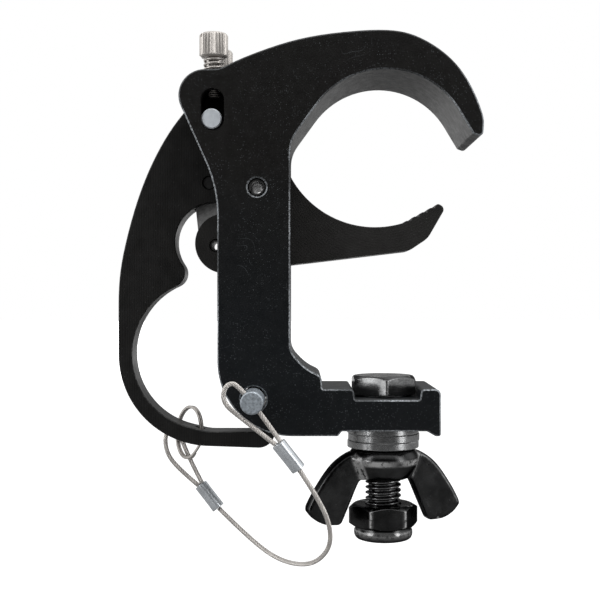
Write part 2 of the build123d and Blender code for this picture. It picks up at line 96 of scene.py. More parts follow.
def smoothed(mesh):
    mesh.polygons.foreach_set("use_smooth", [True] * len(mesh.polygons))
    return mesh


def mesh_object(name, verts, faces):
    """A smoothly shaded mesh object from points in metres and faces."""
    mesh = bpy.data.meshes.new(name)
    mesh.from_pydata([tuple(v) for v in verts], [], faces)
    mesh.validate()
    return linked(name, smoothed(mesh))


def clean(obj, crease=None):
    """Merges doubled points, turns faces outwards and marks edges sharper than crease degrees."""
    mesh = bmesh.new()
    mesh.from_mesh(obj.data)
    bmesh.ops.remove_doubles(mesh, verts=mesh.verts, dist=MERGE)
    bmesh.ops.dissolve_degenerate(mesh, edges=mesh.edges, dist=MERGE)
    bmesh.ops.recalc_face_normals(mesh, faces=mesh.faces)
    if crease is not None:
        limit = math.radians(crease)
        for edge in mesh.edges:
            edge.smooth = len(edge.link_faces) == 2 and edge.calc_face_angle(0.0) < limit
    mesh.to_mesh(obj.data)
    mesh.free()
    return obj


def final_mesh(obj):
    """A new mesh from a curve, or from a mesh with its modifiers worked in."""
    depsgraph = bpy.context.evaluated_depsgraph_get()
    return bpy.data.meshes.new_from_object(obj.evaluated_get(depsgraph))


def applied(obj, kind, **settings):
    """The object with one modifier worked into its mesh."""
    modifier = obj.modifiers.new(kind, kind)
    for key, value in settings.items():
        setattr(modifier, key, value)
    mesh = final_mesh(obj)
    obj.modifiers.clear()
    obj.data = mesh
    return obj


def evened(obj):
    """Shades each point by its widest faces, so that flat faces beside small ones look flat."""
    return applied(obj, "WEIGHTED_NORMAL", mode="FACE_AREA", weight=80, keep_sharp=True)


def joined(name, *parts):
    """One object from several, which are used up."""
    mesh = bmesh.new()
    for part in parts:
        mesh.from_mesh(part.data)
        bpy.data.objects.remove(part)
    data = bpy.data.meshes.new(name)
    mesh.to_mesh(data)
    mesh.free()
    return linked(name, data)


def skin(name, rings, closed=False):
    """A surface over rings of as many points each, capped at its two ends unless it is closed."""
    count, size = len(rings), len(rings[0])
    verts = [point for ring in rings for point in ring]
    faces = []
    for i in range(count if closed else count - 1):
        for j in range(size):
            k, a, b = (j + 1) % size, i * size, (i + 1) % count * size
            faces.append((a + j, a + k, b + k, b + j))
    if not closed:
        faces += [tuple(range(size - 1, -1, -1)), tuple(range((count - 1) * size, count * size))]
    return mesh_object(name, verts, faces)


def round_point(axis, radius, angle, z):
    """A point at a radius, an angle and a height about an upright axis."""
    return Vector((axis[0] + radius * math.cos(angle), axis[1] + radius * math.sin(angle), z))


def lathe(name, profile, axis, steps=72):
    """A turned piece about an upright axis, from the (radius, height) points round its section."""
    rings = [[round_point(axis, radius, TAU * k / steps, z) for k in range(steps)]
             for radius, z in profile]
    return skin(name, rings, closed=True)


def frames_along(points):
    """A tangent and two cross directions at each point, turning as little as they can."""
    tangents = []
    for i, point in enumerate(points):
        before, after = points[max(i - 1, 0)], points[min(i + 1, len(points) - 1)]
        tangents.append((after - before).normalized())
    normal = tangents[0].orthogonal().normalized()
    found = []
    for tangent in tangents:
        normal = (normal - tangent * normal.dot(tangent)).normalized()
        found.append((tangent, normal, tangent.cross(normal)))
    return found


def swept(name, points, section):
    """A section, as (across, over) points, carried along points."""
    rings = []
    for point, (_, across, over) in zip(points, frames_along(points)):
        rings.append([point + across * u + over * v for u, v in section])
    return skin(name, rings)


def circle(radius, steps):
    angles = [TAU * k / steps for k in range(steps)]
    return [(radius * math.cos(angle), radius * math.sin(angle)) for angle in angles]


def evenly(points, step):
    """The same line with its points one step apart."""
    found, left = [points[0].copy()], step
    for a, b in zip(points, points[1:]):
        length = (b - a).length
        while left <= length:
            found.append(a.lerp(b, left / length))
            left += step
        left -= length
    if (points[-1] - found[-1]).length > step / 2:
        found.append(points[-1].copy())
    else:
        found[-1] = points[-1].copy()
    return found


def route(name, control):
    """The smooth line that a cord follows: points read from a NURBS curve over the given ones."""
    curve = bpy.data.curves.new(name, "CURVE")
    curve.dimensions = "3D"
    curve.resolution_u = 24
    spline = curve.splines.new("NURBS")
    spline.points.add(len(control) - 1)
    for point, place in zip(spline.points, control):
        point.co = (*place, 1)
    spline.order_u = 3
    spline.use_endpoint_u = True
    obj = linked(name, curve)
    points = [v.co.copy() for v in final_mesh(obj).vertices]
    bpy.data.objects.remove(obj)
    return points


ROPE_R = 0.65 * MM
LAY = 5.2 * MM  # A strand goes once round in this length.
ROPE_STEP = 0.3 * MM
STRANDS = 6


def rope(name, line, first, last):
    """Six strands laid round a seventh, along an even line's points from first to last."""
    frames = frames_along(line)
    span = range(first, last + 1)
    strand = ROPE_R / 3
    parts = [swept(name + "_core", [line[i] for i in span], circle(strand * 1.1, 8))]
    for k in range(STRANDS):
        places = []
        for i in span:
            angle = TAU * (k / STRANDS + i * ROPE_STEP / LAY)
            across, over = frames[i][1:]
            out = across * math.cos(angle) + over * math.sin(angle)
            places.append(line[i] + out * strand * 1.97)
        parts.append(swept(f"{name}_{k}", places, circle(strand * 1.02, 10)))
    tree = KDTree(len(line))
    for i, point in enumerate(line):
        tree.insert(point, i)
    tree.balance()

    # Painted shade: points deep between the strands are darkened in the material.
    def shade_between_strands(co):
        return 1 - smoothstep(0.66, 0.93, tree.find(co)[2] / ROPE_R)

    return noted(clean(joined(name, *parts)), "groove_shade", shade_between_strands)


def thread(name, axis, low, high, radius, pitch, rows, columns):
    """A rod with a real screw thread, with rows of points to a pitch and columns round it.

    Its points follow the helix, so the crests are clean. The thread fades out at both ends."""
    depth = runout = 0.6 * pitch
    total = int((high - low) / pitch * rows) + rows
    verts, faces = [], []
    for i in range(-rows, total + 1):
        for j in range(columns):
            z = low + pitch * (i / rows + j / columns)
            phase = abs((i % rows) / rows - 0.5) * 2
            crest = radius - depth * smoothstep(0.12, 0.85, 1 - phase)
            fade = min(smoothstep(low, low + runout, z), smoothstep(high, high - runout, z))
            r = radius - depth + (crest - radius + depth) * fade
            verts.append(round_point(axis, r, TAU * j / columns, min(max(z, low), high)))
    lines = total + rows + 1
    for i in range(lines - 1):
        for j in range(columns):
            a, b = i * columns + j, (i + 1) * columns + j
            if j < columns - 1:
                faces.append((a, a + 1, b + 1, b))
            elif i + rows + 1 < lines:
                c = (i + rows) * columns
                faces.append((a, c, c + columns, b))
    obj = clean(mesh_object(name, verts, faces))
    mesh = bmesh.new()
    mesh.from_mesh(obj.data)
    for height in (low, high):
        flat = [f for f in mesh.faces if all(abs(v.co.z - height) < TINY for v in f.verts)]
        bmesh.ops.delete(mesh, geom=flat, context="FACES")
    loose = [v for v in mesh.verts if not v.link_faces]
    bmesh.ops.delete(mesh, geom=loose, context="VERTS")
    bmesh.ops.holes_fill(mesh, edges=[e for e in mesh.edges if e.is_boundary])
    mesh.to_mesh(obj.data)
    mesh.free()
    return clean(obj)


def turned_hex(name, axis, flats, low, high, yaw, cut_low, hole):
    """A hexagonal nut or head, its corners turned off at 30 degrees: the top ones, and the lower
    ones too if cut_low is true. A hole is given by its radius, 0 for none."""
    steps, sixth = 120, TAU / 6
    turned = flats / 2 * 0.95  # The radius of an end's flat part.
    slope = math.tan(math.radians(30))
    base = Vector((axis[0], axis[1], 0))
    angles = [TAU * k / steps for k in range(steps)]
    rings = [[], [], [], []]
    for angle in angles:
        wall = flats / 2 / math.cos((angle + sixth / 2) % sixth - sixth / 2)
        drop = max(wall - turned, 0) * slope
        way = Vector((math.cos(angle + yaw), math.sin(angle + yaw), 0))
        if cut_low:
            places = [(turned, low), (wall, low + drop)]
        else:
            places = [(wall, low), (wall, low + TINY)]
        places += [(wall, high - drop), (turned, high)]
        for ring, (radius, z) in zip(rings, places):
            ring.append(base + way * radius + Vector((0, 0, z)))
    if hole:
        for place, z in ((0, low), (len(rings) + 1, high)):
            rings.insert(place, [round_point(axis, hole, angle + yaw, z) for angle in angles])
    return skin(name, rings, closed=bool(hole))


# ---------------------------------------------------------------- materials


def noted(obj, name, share):
    """Writes a share from 0 to 1 at each point, for the material to read: one for how deep in a
    groove a point lies, which the material paints as shade, and one for how worn it is, which the
    material paints light as wear and as a painted highlight."""
    values = obj.data.attributes.new(name, "FLOAT", "POINT")
    values.data.foreach_set("value", [share(v.co) for v in obj.data.vertices])
    return obj


def put(tree, kind, inputs=None, **settings):
    """A shader node, with its inputs set to values or joined to other nodes' outputs."""
    made = tree.nodes.new(kind)
    for key, value in settings.items():
        setattr(made, key, value)
    for key, value in (inputs or {}).items():
        if isinstance(value, bpy.types.NodeSocket):
            tree.links.new(value, made.inputs[key])
        else:
            made.inputs[key].default_value = value
    return made


def coordinates(tree):
    return put(tree, "ShaderNodeTexCoord").outputs["Object"]


def noise(tree, scale, detail, roughness=0.5):
    made = put(tree, "ShaderNodeTexNoise", {"Vector": coordinates(tree), "Scale": scale,
                                            "Detail": detail, "Roughness": roughness})
    return made.outputs["Fac"]


def ramp(tree, value, low, high, start=0.0, end=1.0):
    """The value's range from low to high, spread from start to end and held there outside."""
    inputs = {0: value, 1: low, 2: high, 3: start, 4: end}
    return put(tree, "ShaderNodeMapRange", inputs, clamp=True).outputs[0]


def clouds(tree, scale, detail, low, high, start=0.0, end=1.0, roughness=0.5):
    """Noise, with its range from low to high spread from start to end."""
    return ramp(tree, noise(tree, scale, detail, roughness), low, high, start, end)


def math_node(tree, operation, a, b=0.0):
    return put(tree, "ShaderNodeMath", {0: a, 1: b}, operation=operation).outputs[0]


def times(tree, a, b):
    return math_node(tree, "MULTIPLY", a, b)


def larger(tree, a, b):
    return math_node(tree, "MAXIMUM", a, b)


def mixed(tree, share, a, b):
    """A colour between a and b."""
    return put(tree, "ShaderNodeMix", {0: share, 6: a, 7: b}, data_type="RGBA").outputs[2]


def specks(tree, scale, size, share):
    """Small round spots, one to a cell, in the given share of the cells."""
    cells = put(tree, "ShaderNodeTexVoronoi", {"Vector": coordinates(tree), "Scale": scale})
    near = ramp(tree, cells.outputs["Distance"], size, size * 0.5)
    chosen = put(tree, "ShaderNodeSeparateColor", {0: cells.outputs["Color"]}).outputs[0]
    return times(tree, near, math_node(tree, "GREATER_THAN", chosen, 1 - share))


def bump(tree, height, distance, strength, normal=None):
    inputs = {"Height": height, "Distance": distance, "Strength": strength}
    if normal is not None:
        inputs["Normal"] = normal
    return put(tree, "ShaderNodeBump", inputs).outputs["Normal"]


def new_material(name):
    made = bpy.data.materials.new(name)
    made.use_nodes = True
    return made, made.node_tree, made.node_tree.nodes["Principled BSDF"]


def grey(value, warmth=0.0):
    """A near-grey colour, a little warm above 0 and a little blue below."""
    return (value * (1 + warmth), value, value * (1 - warmth), 1)


def edge_mask(tree):
    """1 on the chamfers between a plate's faces and sides, which look 45 degrees away from Y."""
    facing = put(tree, "ShaderNodeTexCoord").outputs["Normal"]
    along = math_node(tree, "ABSOLUTE", put(tree, "ShaderNodeSeparateXYZ", {0: facing}).outputs[1])
    return times(tree, ramp(tree, along, 0.15, 0.45), ramp(tree, along, 0.96, 0.85))


def connect(tree, shader, **sockets):
    """Sets the shader's sockets to values or joins them to other nodes' outputs."""
    names = {"color": "Base Color", "roughness": "Roughness", "metallic": "Metallic",
             "normal": "Normal"}
    for key, value in sockets.items():
        if isinstance(value, bpy.types.NodeSocket):
            tree.links.new(value, shader.inputs[names[key]])
        else:
            shader.inputs[names[key]].default_value = value


def powder_coat():
    """Black powder coat: a painted light gradient that turns lighter and cooler downwards, pale
    specks painted as glints, hair scuffs, and edges lightened as wear and as a painted highlight.
    """
    made, tree, shader = new_material("powder_coat")
    height = put(tree, "ShaderNodeSeparateXYZ", {0: coordinates(tree)}).outputs[2]
    patches = noise(tree, 90, 4)
    # Painted light gradient: the lower body gets a lighter, bluer tone than the upper, for how the
    # light falls on it.
    upper = mixed(tree, patches, grey(0.0026, 0.10), grey(0.0048, 0.10))
    lower = mixed(tree, patches, grey(0.0034, -0.25), grey(0.0066, -0.25))
    tone = mixed(tree, ramp(tree, height, 0.0, -0.045), upper, lower)
    # Painted glints: pale specks, fine and large, stand for the coat's ripples catching the light.
    fine = times(tree, specks(tree, 2600, 0.34, 0.30), clouds(tree, 160, 3, 0.35, 0.7, 0.06, 0.5))
    large = times(tree, specks(tree, 620, 0.09, 0.045), clouds(tree, 60, 2, 0.42, 0.58))
    tone = mixed(tree, larger(tree, fine, large), tone, grey(0.16, -0.08))
    hair = put(tree, "ShaderNodeTexWave", {"Vector": coordinates(tree), "Scale": 22,
                                           "Distortion": 60, "Detail": 1, "Detail Scale": 3},
               wave_type="BANDS")
    hair = ramp(tree, hair.outputs["Fac"], 0.992, 1.0)
    scuffed = times(tree, hair, clouds(tree, 70, 2, 0.62, 0.68, 0, 0.3))
    tone = mixed(tree, scuffed, tone, grey(0.2, -0.08))
    # Painted highlight and wear: the chamfers are lightened, for light caught on them and for worn
    # coat, less so on top of the hook.
    wear_and_highlight = times(tree, edge_mask(tree), clouds(tree, 1900, 3, 0.38, 0.62, 0.12, 1.0, 0.75))
    wear_and_highlight = times(tree, wear_and_highlight, clouds(tree, 75, 2, 0.36, 0.58, 0.22, 1.0))
    wear_and_highlight = times(tree, wear_and_highlight, ramp(tree, height, 0.014, 0.026, 1.0, 0.12))
    tone = mixed(tree, wear_and_highlight, tone, grey(0.50, -0.06))
    relief = bump(tree, noise(tree, 2300, 2), 0.00012, 0.35)
    gloss = clouds(tree, 500, 2, 0.2, 0.8, 0.40, 0.52)
    connect(tree, shader, color=tone, roughness=gloss, normal=relief)
    shader.inputs["Specular IOR Level"].default_value = 0.28
    return made


def anodised(name, marks, dark, light):
    """Black anodised plate with the cutter's fine marks; marks(tree) gives their height."""
    made, tree, shader = new_material(name)
    lines = marks(tree)
    tone = mixed(tree, lines, grey(dark, 0.04), grey(light, 0.04))
    dust = times(tree, specks(tree, 1400, 0.24, 0.10), 0.3)
    tone = mixed(tree, dust, tone, grey(0.10))
    # Painted highlight and wear: the chamfers are lightened, for light caught on them and for worn
    # edges.
    wear_and_highlight = times(tree, edge_mask(tree), clouds(tree, 700, 3, 0.45, 0.7, 0, 0.35, 0.7))
    tone = mixed(tree, wear_and_highlight, tone, grey(0.2))
    relief = bump(tree, lines, 0.00003, 0.3, bump(tree, noise(tree, 3000, 2), 0.00004, 0.35))
    gloss = clouds(tree, 260, 3, 0.3, 0.7, 0.36, 0.46)
    connect(tree, shader, color=tone, roughness=gloss, normal=relief)
    shader.inputs["Specular IOR Level"].default_value = 0.4
    return made


def upright_marks(tree):
    """Fine marks, nearly upright and slightly bent."""
    drawn = put(tree, "ShaderNodeVectorMath", {0: coordinates(tree), 1: (1, 0.05, 0.06)},
                operation="MULTIPLY").outputs[0]
    waves = put(tree, "ShaderNodeTexWave", {"Vector": drawn, "Scale": 480, "Distortion": 1.6,
                                            "Detail": 2, "Detail Scale": 1.5},
                wave_type="BANDS", bands_direction="X")
    return waves.outputs["Fac"]


def ring_marks(tree):
    """Turning marks round the pipe's axis."""
    waves = put(tree, "ShaderNodeTexWave", {"Vector": coordinates(tree), "Scale": 420,
                                            "Distortion": 0.8, "Detail": 2},
                wave_type="RINGS", rings_direction="Y")
    return waves.outputs["Fac"]


def metal(name, dark, light, roughness, grain, depth, warmth=0.0, patches=120, bare=1.0):
    """Bare or plated metal with a mottled tone and a fine grain, with painted shade in the grooves
    of a piece that has noted groove values. Grain and patches are scales, and bare is how metallic
    it is."""
    made, tree, shader = new_material(name)
    mottle = clouds(tree, patches, 4, 0.3, 0.7, roughness=0.6)
    tone = mixed(tree, mottle, grey(dark, warmth), grey(light, warmth))
    # Painted shade: the noted groove values darken the tone.
    groove = put(tree, "ShaderNodeAttribute", attribute_name="groove_shade").outputs["Fac"]
    tone = mixed(tree, groove, tone, grey(dark * 0.16, warmth))
    relief = bump(tree, noise(tree, grain, 3, 0.6), depth, 0.5)
    gloss = clouds(tree, patches * 3, 3, 0.3, 0.7, roughness * 0.8, roughness * 1.25)
    connect(tree, shader, color=tone, roughness=gloss, metallic=bare, normal=relief)
    return made


def black_plate(name, dark, light, roughness, waviness):
    """Black plating: a dark, wavy metal, made light along its outward corners and where a piece's
    noted values say so, partly as rubbed wear and partly as a painted highlight."""
    made, tree, shader = new_material(name)
    mottle = clouds(tree, 180, 4, 0.35, 0.65, roughness=0.6)
    tone = mixed(tree, mottle, grey(dark, -0.01), grey(light, -0.01))
    flecks = times(tree, specks(tree, 1300, 0.24, 0.25), clouds(tree, 220, 2, 0.4, 0.65))
    tone = mixed(tree, times(tree, flecks, 0.35), tone, grey(0.4))
    # Painted highlight and wear: outward corners, found by pointiness, and a piece's noted places
    # turn light grey and less metallic.
    proud = put(tree, "ShaderNodeNewGeometry").outputs["Pointiness"]
    proud = ramp(tree, proud, 0.53, 0.60, 0, 0.7)
    marked = put(tree, "ShaderNodeAttribute", attribute_name="rubbed_and_highlight").outputs["Fac"]
    broken = clouds(tree, 800, 3, 0.34, 0.50, 0.25, 1.0, 0.6)
    rubbed_and_highlight = times(tree, larger(tree, proud, marked), broken)
    tone = mixed(tree, rubbed_and_highlight, tone, grey(0.62))
    fine = bump(tree, noise(tree, 2600, 2), 0.00005, 0.25)
    relief = bump(tree, noise(tree, 320, 3), waviness, 0.6, fine)
    gloss = clouds(tree, 300, 3, 0.3, 0.7, roughness * 0.7, roughness * 1.5)
    connect(tree, shader, color=tone, roughness=gloss, metallic=ramp(tree, rubbed_and_highlight, 0, 1, 1.0, 0.35),
            normal=relief)
    shader.inputs["Specular Tint"].default_value = (0.35, 0.35, 0.35, 1)
    return made


def nylon():
    """The grey plastic of the lock nut's ring."""
    made, tree, shader = new_material("nylon")
    tone = mixed(tree, noise(tree, 400, 3), grey(0.10, -0.05), grey(0.16, -0.05))
    relief = bump(tree, noise(tree, 1500, 2), 0.00005, 0.4)
    connect(tree, shader, color=tone, roughness=0.5, normal=relief)
    return made


COAT = powder_coat()
LEVER_BLACK = anodised("lever_black", upright_marks, 0.004, 0.009)
JAW_BLACK = anodised("jaw_black", ring_marks, 0.016, 0.019)
# metal: dark, light, roughness, grain's scale and depth
BLASTED = metal("blasted", 0.26, 0.42, 0.5, 2600, 0.00006, patches=900, bare=0.4)
GROUND = metal("ground_steel", 0.62, 0.76, 0.42, 1500, 0.00002,
               warmth=-0.06, patches=300, bare=0.35)
DARK_PIN = metal("dark_pin", 0.05, 0.12, 0.38, 1800, 0.00003)
NICKEL = metal("nickel", 0.50, 0.62, 0.34, 1200, 0.00002, warmth=0.06, bare=0.5)
RING_NICKEL = metal("ring_nickel", 0.40, 0.52, 0.30, 1200, 0.00002, warmth=0.06, bare=0.8)
ZINC_PIN = metal("zinc_pin", 0.20, 0.56, 0.40, 900, 0.00005, warmth=-0.10, patches=1500, bare=0.35)
ROPE_STEEL = metal("rope_steel", 0.56, 0.74, 0.34, 2400, 0.00002,
                   warmth=0.05, patches=500, bare=0.55)
FERRULE_ZINC = metal("ferrule_zinc", 0.62, 0.86, 0.26, 700, 0.00004,
                     warmth=-0.05, patches=260, bare=0.6)
WASHER_STEEL = metal("washer_steel", 0.30, 0.44, 0.24, 1800, 0.00002,
                     warmth=-0.01, patches=260, bare=0.9)
# black_plate: dark, light, roughness, waviness
PLATE = black_plate("black_plate", 0.035, 0.075, 0.20, 0.00007)
HEAD_PLATE = black_plate("head_plate", 0.10, 0.20, 0.16, 0.00007)
NYLON = nylon()


def dress(material, *names):
    """Gives CAD nodes that stay their material."""
    for name in names:
        data = NODES[name].data
        data.materials.clear()
        data.materials.append(material)


dress(COAT, "main_body")
dress(LEVER_BLACK, "trigger_lever")
dress(JAW_BLACK, "jaw")
dress(BLASTED, "toggle_link")
dress(GROUND, "lever_pivot_pin")
dress(DARK_PIN, "jaw_pivot_pin", "jaw_link_pin", "lever_link_pin")
dress(ZINC_PIN, "safety_pin")
dress(NYLON, "lock_nut_insert")


def piece(obj, body, slot, material, *nodes):
    """A finished piece: its material, the body it rides on and the CAD nodes it stands for."""
    obj.data.materials.clear()
    obj.data.materials.append(material)
    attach(obj, body)
    if nodes:
        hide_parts(*nodes)
    return obj


# ---------------------------------------------------------------- camera

# Level and square to the clamp's front, 301 mm before its middle plane.
camera_data = bpy.data.cameras.new("camera")
camera_data.lens = 64.26
camera_data.sensor_width = 36.0
camera_data.dof.use_dof = False
camera = linked("camera", camera_data)
camera.location = mm(-22.97, -301.0, -38.96)
camera.rotation_euler = (math.radians(90), 0, 0)
bpy.context.scene.camera = camera

# ---------------------------------------------------------------- lanyard

# The routes of part.py, in metres, some of their points nudged by up to a millimetre.
PIN_EYE = [(-0.0280, -0.0230, -0.0758), (-0.0386, -0.0230, -0.0606), (-0.0424, -0.0230, -0.0608),
           (-0.0432, -0.0230, -0.0656), (-0.0380, -0.0230, -0.0698), (-0.0292, -0.0230, -0.0766)]
BIGHT = [(-0.0232, -0.0226, -0.08305), (-0.0183, -0.0224, -0.0904), (-0.0149, -0.0212, -0.0982),
         (-0.0152, -0.0180, -0.1052), (-0.0203, -0.0116, -0.1109), (-0.0290, -0.0036, -0.1113),
         (-0.0380, 0.0040, -0.1063), (-0.0463, 0.0070, -0.0988)]
RING_EYE = [(-0.0512, 0.0080, -0.0918), (-0.0550, 0.0089, -0.0848), (-0.0580, 0.0096, -0.0774),
            (-0.0622, 0.0104, -0.0768), (-0.0618, 0.0094, -0.0834), (-0.0571, 0.0086, -0.0886),
            (-0.05205, 0.0080, -0.0926)]


def lanyard(name, line, first, last, node):
    """One length of the lanyard: the line's points from first to last."""
    obj = rope(name, line, first, last)
    obj.data.materials.append(ROPE_STEEL)
    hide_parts(node)
    return obj


pin_line = evenly(route("pin_eye_line", PIN_EYE), ROPE_STEP)
ring_line = evenly(route("ring_eye_line", RING_EYE), ROPE_STEP)
bight_line = evenly(route("bight_line", BIGHT), ROPE_STEP)
bight_end = len(bight_line) - 1
middle = len(bight_line) * 45 // 100  # Near the bight's lowest point, where its two lengths meet.
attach(lanyard("pin_eye", pin_line, 0, len(pin_line) - 1, "lanyard_pin_eye"), "safety")
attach(lanyard("ring_eye", ring_line, 0, len(ring_line) - 1, "lanyard_ring_eye"), "trigger")
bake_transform(lanyard("bight_by_pin", bight_line, 0, middle, "lanyard_bight"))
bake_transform(lanyard("bight_by_ring", bight_line, middle, bight_end, "lanyard_bight"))


# (share of a ferrule's length, share of its section) from end to end: rounded rims, a slight waist
# and a dimple at each end where the rope goes in.
FERRULE_PROFILE = ((0.03, 0.6), (0.0, 0.66), (0.0, 0.92), (0.008, 0.975), (0.03, 1.0),
                   (0.25, 0.985), (0.5, 0.98), (0.75, 0.985),
                   (0.97, 1.0), (0.992, 0.975), (1.0, 0.92), (1.0, 0.66), (0.97, 0.6))
FERRULE_FACING = Vector((-0.45, -0.80, -0.36))
FERRULE_DEEP = 3.2 * MM
FLAT = 0.94  # The broad sides are cut off at this share of a round section.


def ferrule(name, eye, end, wide, body, node):
    """A sleeve pressed round the rope from where its eye closes to end, with two flat sides."""
    start, end = (Vector(eye[0]) + Vector(eye[-1])) / 2, Vector(end)
    axis = (end - start).normalized()
    across = axis.cross(FERRULE_FACING).normalized()
    out = across.cross(axis)
    length = (end - start).length - 0.15 * MM
    corners = []
    for u, v in circle(1, 48):
        corners.append((abs(u) ** 0.8 * math.copysign(1, u),
                        min(abs(v) ** 0.75, FLAT) / FLAT * math.copysign(1, v)))
    rings = []
    for share, size in FERRULE_PROFILE:
        place = start + axis * length * share
        rings.append([place + across * u * wide / 2 * size + out * v * FERRULE_DEEP / 2 * size
                      for u, v in corners])
    return piece(evened(clean(skin(name, rings), 40)), body, "zinc_ferrule", FERRULE_ZINC, node)


ferrule("ferrule_by_pin", PIN_EYE, BIGHT[0], 3.8 * MM, "safety", "ferrule_pin_end")
ferrule("ferrule_by_ring", RING_EYE, BIGHT[-1], 3.6 * MM, "trigger", "ferrule_ring_end")

# The flat wire's section in millimetres, (outwards, along the ring's axis).
RING_WIRE = ((-0.40, -0.16), (-0.30, -0.27), (0.30, -0.27), (0.40, -0.16),
             (0.40, 0.16), (0.30, 0.27), (-0.30, 0.27), (-0.40, 0.16))


def split_ring():
    """Nearly two turns of flat wire, side by side, tilted about the hole that holds them.

    The first turn steps over to the second's side just before they meet, and both ends taper."""
    low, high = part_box("split_ring")
    centre = (low + high) / 2
    normal = Vector((-0.84, -0.54, 0)).normalized()
    away = Vector((-0.54, 0.84, 0)).normalized()
    radius = (high.z - low.z) / 2 - 0.45 * MM
    hole = centre - away * radius
    tilt = Matrix.Rotation(math.radians(8), 3, "Y")
    first, turns, steps = 0.62, 1.93, 330
    rings = []
    for i in range(steps + 1):
        turn = turns * i / steps
        angle = TAU * (first + turn)
        out = away * math.cos(angle) + Vector((0, 0, 1)) * math.sin(angle)
        beside = -0.3 + 0.6 * smoothstep(0.9, 1.0, turn)
        place = centre + out * radius + normal * beside * MM
        taper = min(1.0, 0.35 + 14 * min(turn, turns - turn))
        rings.append([hole + tilt @ (place + (out * u + normal * v) * taper * MM - hole)
                      for u, v in RING_WIRE])
    return clean(skin("split_ring_turns", rings), 35)


piece(evened(split_ring()), "trigger", "bright_nickel", RING_NICKEL, "split_ring")

# ---------------------------------------------------------------- bolt, nuts and washers


def centre_of(node):
    """A node's middle, lowest and highest corners."""
    low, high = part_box(node)
    return (low + high) / 2, low, high


bolt_middle, bolt_low, bolt_high = centre_of("fixture_bolt")
BOLT_AXIS = (bolt_middle.x, 0.0)
HEX_FLATS = bolt_high.x - bolt_low.x
HEAD_H = 5.7 * MM
BOLT_R = 5.0 * MM
PITCH = 1.5 * MM
head_floor = bolt_high.z - HEAD_H


def hex_piece(name, low, high, yaw, cut_low, hole=0.0):
    """A turned hexagon with its corners and rims rounded."""
    made = turned_hex(name, BOLT_AXIS, HEX_FLATS, low, high, yaw, cut_low, hole)
    return applied(clean(made, 20), "BEVEL", width=0.25 * MM, segments=3, limit_method="ANGLE",
                   angle_limit=math.radians(20))


head = hex_piece("bolt_head", head_floor + 0.5 * MM, bolt_high.z, math.radians(2), False)
face_r = HEX_FLATS / 2 - 0.7 * MM
head_face = lathe("head_face", [
    (3 * MM, head_floor + MM), (3 * MM, head_floor), (face_r - 0.1 * MM, head_floor),
    (face_r, head_floor + 0.1 * MM), (face_r, head_floor + MM)], BOLT_AXIS)
shank = thread("bolt_thread", BOLT_AXIS, bolt_low.z + 0.01 * MM, head_floor + 0.5 * MM, BOLT_R,
               PITCH, 12, 48)
hex_bolt = evened(clean(joined("hex_bolt", head, clean(head_face), shank), 32))
piece(hex_bolt, "frame", "black_steel", HEAD_PLATE, "fixture_bolt")

WASHER_HOLE_R = BOLT_R + 0.3 * MM
WASHER_ROUND = 0.17 * MM


def washer(node):
    """A flat ring with rounded rims."""
    middle, low, high = centre_of(node)
    outer = (high.x - low.x) / 2
    profile = []
    for r, z, inward, upward in ((WASHER_HOLE_R, low.z, 1, 1), (outer, low.z, -1, 1),
                                 (outer, high.z, -1, -1), (WASHER_HOLE_R, high.z, 1, -1)):
        aside, up = inward * WASHER_ROUND, upward * WASHER_ROUND
        corner = [(r + aside, z), (r + aside * 0.3, z + up * 0.3), (r, z + up)]
        profile += corner if inward * upward < 0 else corner[::-1]
    ring = evened(clean(lathe("ring_" + node, profile, (middle.x, middle.y), 128), 15))
    return piece(ring, "washers", "black_steel", WASHER_STEEL, node)


for node in ("washer_upper", "washer_middle", "washer_lower"):
    washer(node)


def through(points):
    """A smooth line through points, by Catmull and Rom's rule."""
    ends = [points[0], *points, points[-1]]
    per = 8
    line = []
    for p0, p1, p2, p3 in zip(ends, ends[1:], ends[2:], ends[3:]):
        for k in range(per):
            t = k / per
            line.append(tuple(0.5 * (2 * b + (c - a) * t + (2 * a - 5 * b + 4 * c - d) * t * t
                                     + (3 * b - a - 3 * c + d) * t ** 3)
                              for a, b, c, d in zip(p0, p1, p2, p3)))
    return line + [points[-1]]


# The wing nut, in millimetres from the bolt's axis and from the nut's top. A root is the thick
# block where a wing leaves the hub: its end face stands ROOT_X out at the top's level, leans inwards
# on the way down, bulges by ROOT_BULGE beside the wing and falls back by it at the root's corners.
WING_YAW = math.radians(16)
WING_HALF = 2.25
WING_LAYERS = ((-1, 0.55), (-0.82, 0.12), (-0.5, 0), (0.5, 0), (0.82, 0.12), (1, 0.55))
ROOT_HALF = 5.6
ROOT_X = 10.3
ROOT_SLANT = 0.36
ROOT_BULGE = 0.8
ROOT_CORNER_Z = (-3.7, -5.8, -8.2)
ROOT_WING_Z = (-2.2, -4.5, -8.8)
ROOT_START = 3
HUB = ((5.06, 0), (7.9, 0), (8.6, -0.3), (9.3, -1.2), (9.75, -2.3), (9.8, -3.3), (9.45, -4.7),
       (8.8, -6.2), (8.1, -7.4), (7.3, -8.3), (6.5, -8.8), (5.06, -8.85))


